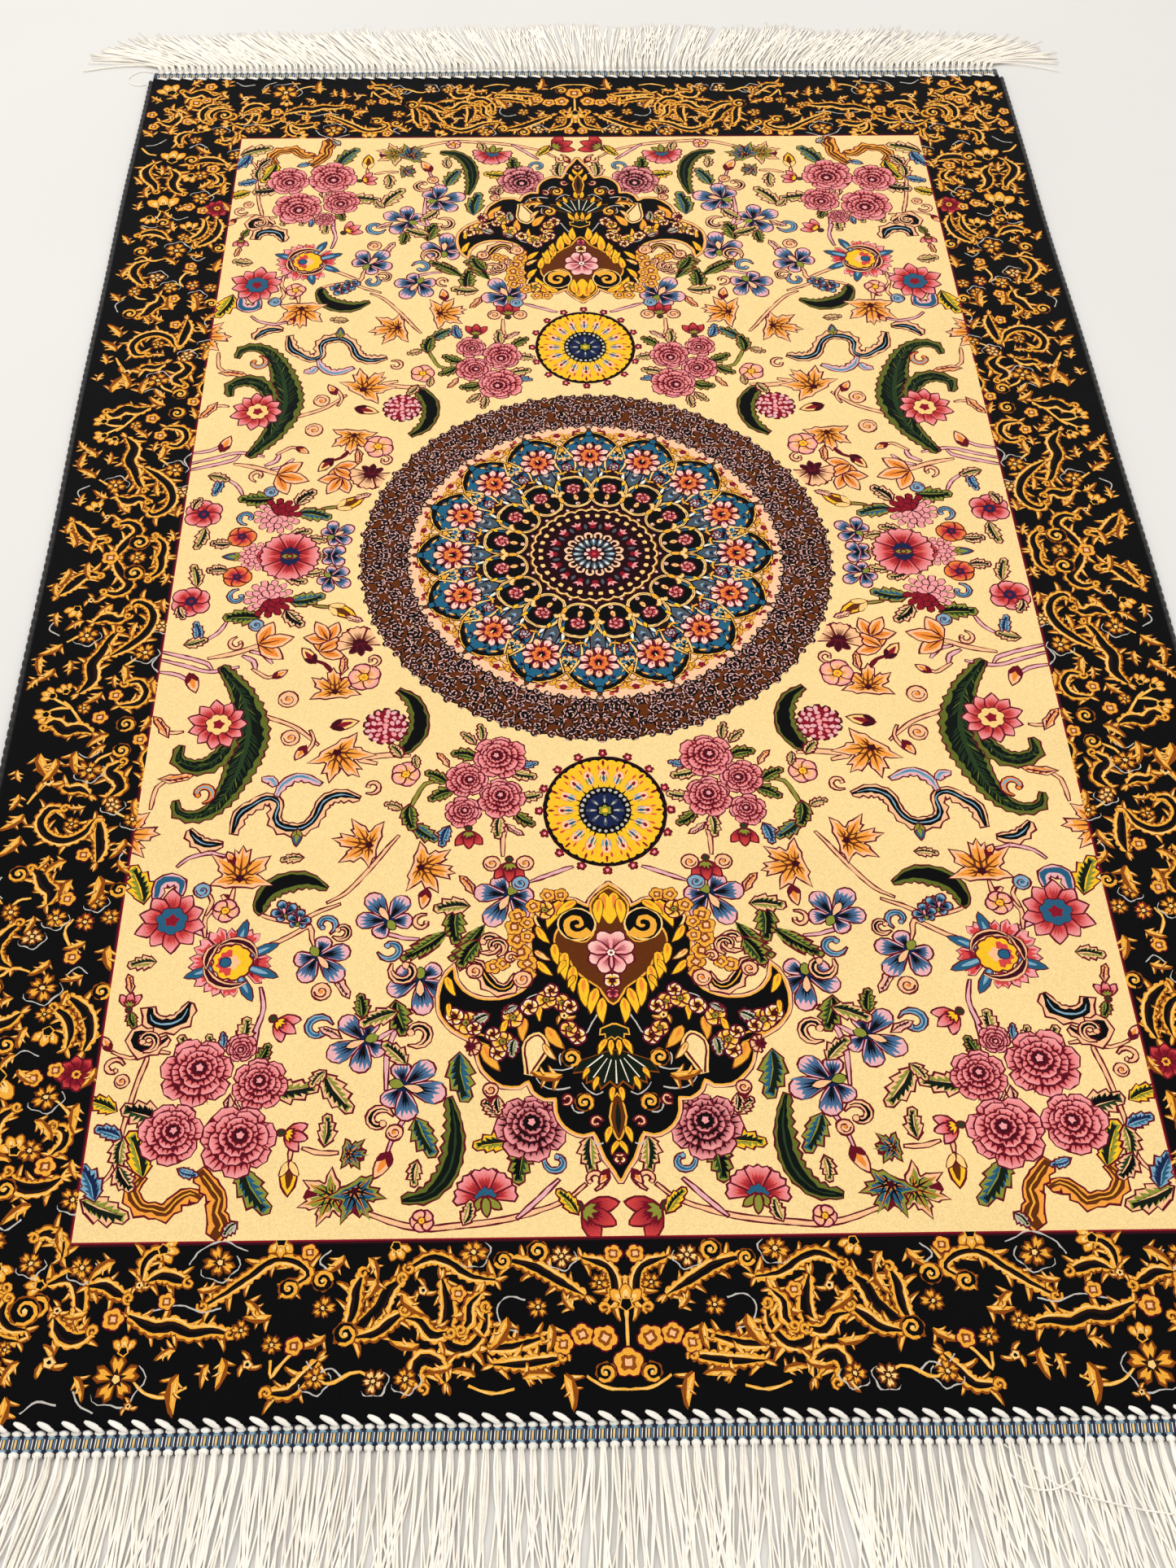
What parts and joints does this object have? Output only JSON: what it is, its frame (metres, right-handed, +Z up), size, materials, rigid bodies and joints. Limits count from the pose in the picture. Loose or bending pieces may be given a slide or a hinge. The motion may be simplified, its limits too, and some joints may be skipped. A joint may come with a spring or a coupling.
{
  "type": "turkish silk rug",
  "caption": "Flat oblong silk pile rug with a dark scrolled border, a flowered pale field, a round medallion, overcast sides and a knotted warp fringe at both ends.",
  "frame": {"origin": "on the floor under the middle of the pile cloth", "axes": "+Y along the rug's length to the far end, +X across it to the right, +Z up out of the pile"},
  "size_m": [0.9203, 1.42, 0.004],
  "materials": {
    "pile_silk": "cut silk pile, soft sheen, black border, cream field and many-coloured flowers",
    "binding_silk": "black overcast silk thread",
    "warp_silk": "off-white twisted warp threads, blue and tan weft in the web"
  },
  "bodies": {
    "root": {"pile_cloth": "pile_silk", "side_cord_left": "binding_silk", "side_cord_right": "binding_silk", "end_fringe_far": "warp_silk", "end_fringe_near": "warp_silk"}
  },
  "joints": []
}
